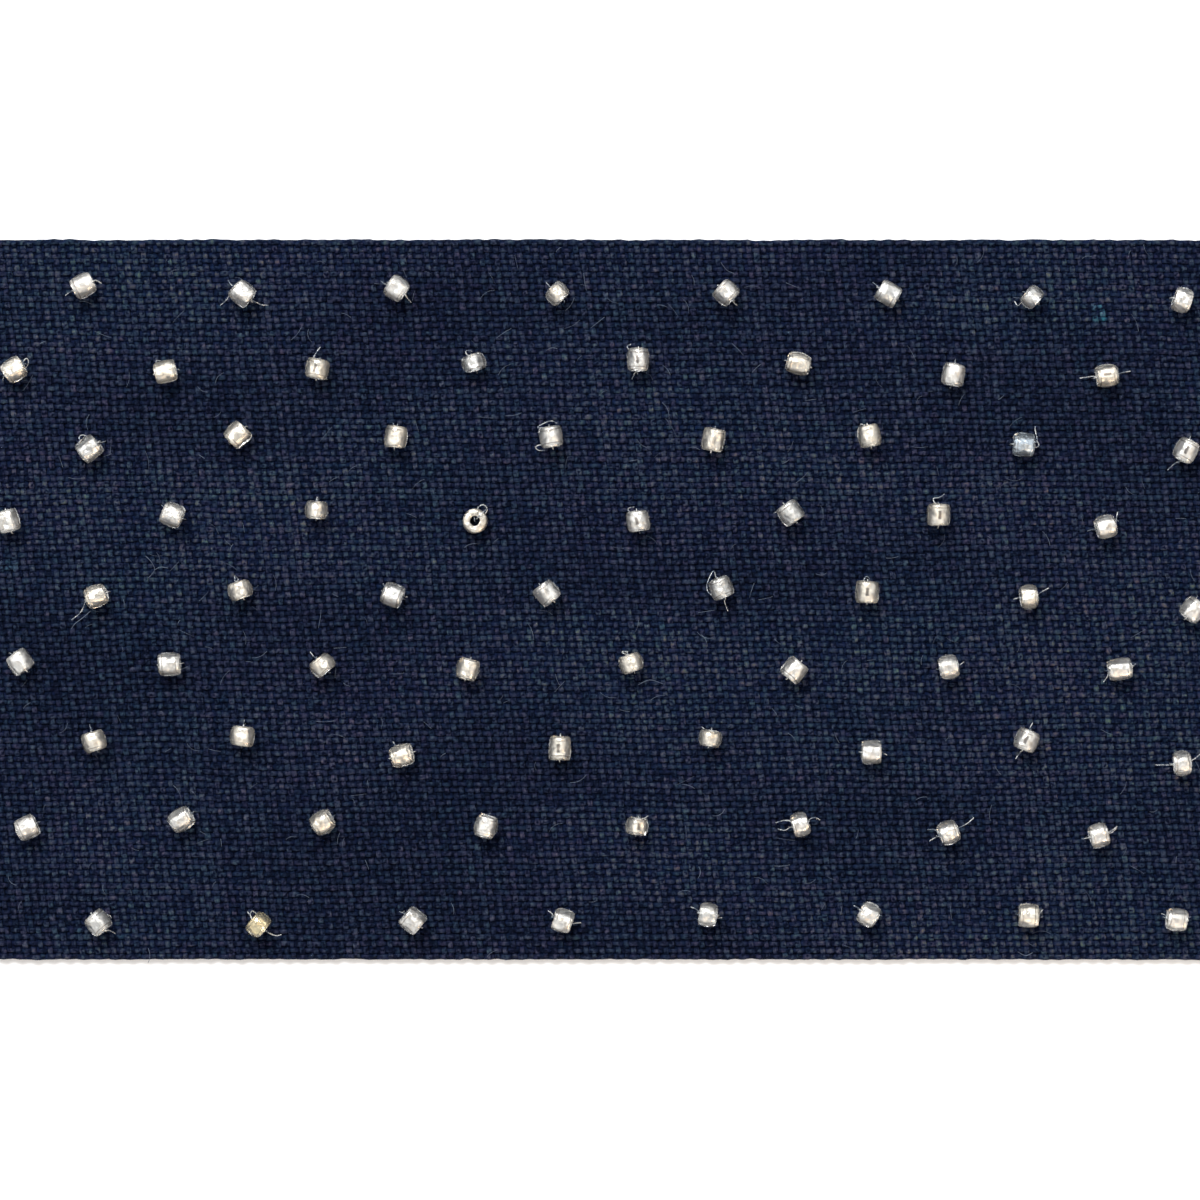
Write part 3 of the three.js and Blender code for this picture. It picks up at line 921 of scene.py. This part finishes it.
def stitch_path(bead):
    """The filament up through the cloth, through the bead and down again. A point of the profile says
    how far it lies along the bead's turn, and how high."""
    _, _, z = bead["middle"]
    if bead["upright"]:
        rim = bead["width"] / 2
        top = z + bead["length"] / 2
        up_the_hole = [(0.18, BACK_LEVEL), (0.2, FACE_LEVEL), (0.22, top - 0.5)]
        over_the_rim = [(0.4, top + 0.05), (0.8, top + 0.12), (rim + 0.12, top - 0.15)]
        down_the_side = [(rim + 0.3, z), (rim + 0.28, FACE_LEVEL), (rim + 0.25, BACK_LEVEL)]
        profile = up_the_hole + over_the_rim + down_the_side
    else:
        end = bead["length"] / 2
        low = z - 0.12
        out_of_the_hole = [(end - 0.1, low), (end + 0.08, z - 0.26)]
        into_the_cloth = [(end + 0.14, 1.5), (end + 0.12, 0.9), (end + 0.2, BACK_LEVEL)]
        leg = out_of_the_hole + into_the_cloth
        profile = [(-r, h) for r, h in reversed(leg)] + [(0.0, low - 0.05)] + leg
    return [(*on_turn(bead, r), h) for r, h in profile]


def rounded(path):
    """The path with its corners cut"""
    cut = [path[0]]
    for start, end in zip(path, path[1:]):
        for share in (0.25, 0.75):
            cut.append(tuple(a + (b - a) * share for a, b in zip(start, end)))
    return cut + [path[-1]]


def slack_path(bead, steps):
    """A loose end or loop: out of the hole, then through the charted steps and down to the cloth"""
    x, y, z = bead["middle"]
    if bead["upright"]:
        path = [(x, y, z), (x, y, z + bead["length"] * 0.55)]
    else:
        right, up = steps[0]
        nearer = 1 if right * math.cos(bead["turn"]) + up * math.sin(bead["turn"]) > 0 else -1
        end = nearer * bead["length"] / 2
        path = [(*on_turn(bead, end * share), z - 0.05) for share in (0.6, 1.0)]
    for i, (right, up) in enumerate(steps):
        to_go = 1 - (i + 1) / len(steps)
        height = SLACK_LEVEL + (z - SLACK_LEVEL) * to_go * 0.8
        path.append((x + right * CHART_STEP, y + up * CHART_STEP, height))
    return rounded(rounded(path))


def filament_paths(beads):
    """Every stitch, then the runs between them on the cloth's back, then the slack ends and loops"""
    stitches = [stitch_path(bead) for bead in beads]
    paths = [(stitch, FILAMENT_WIDTH) for stitch in stitches]
    for bead, before, after in zip(beads[1:], stitches, stitches[1:]):
        if bead["place"] > 0:
            (x0, y0, z0), (x1, y1, _) = before[-1], after[0]
            run = [(x0 + (x1 - x0) * t, y0 + (y1 - y0) * t, z0) for t in (0.0, 0.25, 0.5, 0.75, 1.0)]
            paths.append((run, FILAMENT_WIDTH))
    by_place = {(bead["row"], bead["place"]): bead for bead in beads}
    for row, place, steps in SLACK_FILAMENT:
        slack = slack_path(by_place[row, place], steps)
        paths.append((slack, FILAMENT_WIDTH * SLACK_FINENESS))
    return paths


def fuzz_path(fuzz):
    """A short bent hair somewhere on the cloth, its middle standing off the yarns"""
    x = fuzz.uniform(-FUZZ_SPREAD, FUZZ_SPREAD) * CLOTH_LENGTH / MM
    y = fuzz.uniform(-FUZZ_SPREAD, FUZZ_SPREAD) * CLOTH_WIDTH / MM
    angle = fuzz.uniform(0, 2 * math.pi)
    bend = fuzz.uniform(-0.9, 0.9)
    length = fuzz.uniform(0.5, 1.6)
    path = []
    for i in range(4):
        path.append((x, y, FUZZ_LEVEL + FUZZ_RISE * math.sin(math.pi * (i + 0.4) / 3.8)))
        x += math.cos(angle) * length / 3
        y += math.sin(angle) * length / 3
        angle += bend / 2
    return path, HAIR_WIDTH * fuzz.uniform(0.35, 0.7)


def hair_paths():
    """The loose hairs that show, and a scatter of short fuzz"""
    paths = []
    for hair in LOOSE_HAIRS:
        path = []
        for i, (x, y) in enumerate(hair):
            path.append((x * CHART_STEP, y * CHART_STEP, HAIR_LEVEL + 0.1 * (i % 2)))
        paths.append((path, HAIR_WIDTH))
    fuzz = random.Random(19)
    return paths + [fuzz_path(fuzz) for _ in range(FUZZ_COUNT)]


# Put together
def weave_set(tree, fibres, name, halves, values):
    """One set of yarns, as two pieces"""
    yarns = values["Yarns In Cloth"]
    split = yarns // 2
    length = values["Crossings"] * values["Crossing Pitch"] / MM
    material = yarn_material(
        name + " linen yarn", fibres,
        along=length * FIBRES_PER_MM, across=split * FIBRES_AROUND_YARN,
    )
    pieces = []
    for half, first, count in ((halves[0], 0, split), (halves[1], split, yarns - split)):
        pieces.append(piece_from(name + "_yarns_" + half, tree, {
            **values, "Yarns": count, "First Yarn": first, "Level": YARN_LEVEL, "Crimp": CRIMP,
            "Half Thickness": YARN_HALF_THICKNESS, "Cloth Half Length": CLOTH_LENGTH / 2,
            "Cloth Half Width": CLOTH_WIDTH / 2, "Material": material,
        }))
    return pieces


def weave_cloth(fibres):
    """The wefts and the warps, each set in two halves"""
    tree = woven_yarns_tree()
    along_trim = (1.0, 0.0, 0.0)
    across_trim = (-WARP_LEAN, 1.0, 0.0)
    wefts = weave_set(tree, fibres, "weft", ("lower", "upper"), {
        "Yarns In Cloth": WEFTS, "Crossings": WARPS, "Yarn Pitch": WEFT_PITCH,
        "Crossing Pitch": WARP_PITCH, "Along": along_trim, "Across": across_trim,
        "Half Width": WEFT_HALF_WIDTH, "First Over": 0, "Lightness": 0.94, "Seed": 11,
    })
    warps = weave_set(tree, fibres, "warp", ("left", "right"), {
        "Yarns In Cloth": WARPS, "Crossings": WEFTS, "Yarn Pitch": WARP_PITCH,
        "Crossing Pitch": WEFT_PITCH, "Along": across_trim, "Across": along_trim,
        "Half Width": WARP_HALF_WIDTH, "First Over": 1, "Lightness": 1.1, "Seed": 23,
    })
    return wefts + warps


def studio():
    """A pale floor, a big soft lamp past the trim's upper edge, a weak warm one below, and a camera"""
    scene = bpy.context.scene
    scene.view_settings.view_transform = "Standard"
    world = bpy.data.worlds.new("studio")
    world.use_nodes = True
    background = world.node_tree.nodes["Background"].inputs
    background["Color"].default_value = ROOM_LIGHT
    background["Strength"].default_value = ROOM_BRIGHTNESS
    scene.world = world

    corners = [(x * FLOOR_HALF, y * FLOOR_HALF, 0) for x, y in ((-1, -1), (1, -1), (1, 1), (-1, 1))]
    floor_mesh = bpy.data.meshes.new("paper_floor")
    floor_mesh.from_pydata(corners, [], [(0, 1, 2, 3)])
    floor_mesh.materials.append(paper_material())
    floor = bpy.data.objects.new("paper_floor", floor_mesh)
    scene.collection.objects.link(floor)

    for name, place, size, power, colour in LAMPS:
        light = bpy.data.lights.new(name, "AREA")
        light.shape = "SQUARE"
        light.size = size
        light.energy = power
        light.color = colour
        lamp = bpy.data.objects.new(name, light)
        lamp.location = place
        towards_trim = -lamp.location
        lamp.rotation_euler = towards_trim.to_track_quat("-Z", "Y").to_euler()
        scene.collection.objects.link(lamp)

    camera_data = bpy.data.cameras.new("camera")
    camera_data.lens = CAMERA_LENS
    camera_data.sensor_width = CAMERA_SENSOR
    camera_data.clip_start = 0.01
    camera = bpy.data.objects.new("camera", camera_data)
    view_width = VIEW_STEPS * CHART_STEP * MM
    camera.location = (0.0, 0.0, view_width * CAMERA_LENS / CAMERA_SENSOR + VIEW_LEVEL)
    scene.collection.objects.link(camera)
    scene.camera = camera


studio()

fibres = dyed_fibre_group()
yarns = weave_cloth(fibres)

# A dark sheet between the yarns: painted shade that fills the gaps
gap_shade = piece_from("gap_shade_sheet", gap_shade_sheet_tree(), {
    "Length": CLOTH_LENGTH, "Width": CLOTH_WIDTH - SHADE_SHEET_MARGIN, "Level": YARN_LEVEL,
    "Thickness": SHADE_SHEET_THICKNESS, "Step": SHADE_SHEET_STEP, "Unevenness": SHADE_SHEET_UNEVENNESS,
    "Material": gap_shade_material(fibres),
})

beads = sewn_beads()

glass = piece_from("seed_bead_glass", beads_tree("glass beads", glass_ring), {
    "Unevenness": GLASS_UNEVENNESS, "Material": bead_glass_material(),
}, bead_points(beads))

lining = piece_from("seed_bead_silver_lining", beads_tree("silver linings", lining_ring), {
    "Unevenness": LINING_UNEVENNESS, "Material": silver_lining_material(),
}, bead_points(beads))

tubes = tube_tree()

filament = piece_from("sewing_filament", tubes, {
    "Sides": 5, "Step": 0.16 * MM, "Material": filament_material(),
}, drawn_lines("filament lines", filament_paths(beads)))

hairs = piece_from("loose_linen_hairs", tubes, {
    "Sides": 4, "Step": 0.2 * MM, "Material": hair_material(),
}, drawn_lines("hair lines", hair_paths()))

# Bodies, and what each piece stands for
for piece in (gap_shade, *yarns, hairs):
    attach(piece, "root")
for piece in (glass, lining, filament):
    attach(piece, "root")

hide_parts("linen_ground")
for yarn_piece in yarns:
    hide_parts("linen_ground")
bead_rows = ["bead_row_" + str(row + 1) for row in range(len(BEAD_CHART))]
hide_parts(*bead_rows)
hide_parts(*bead_rows)
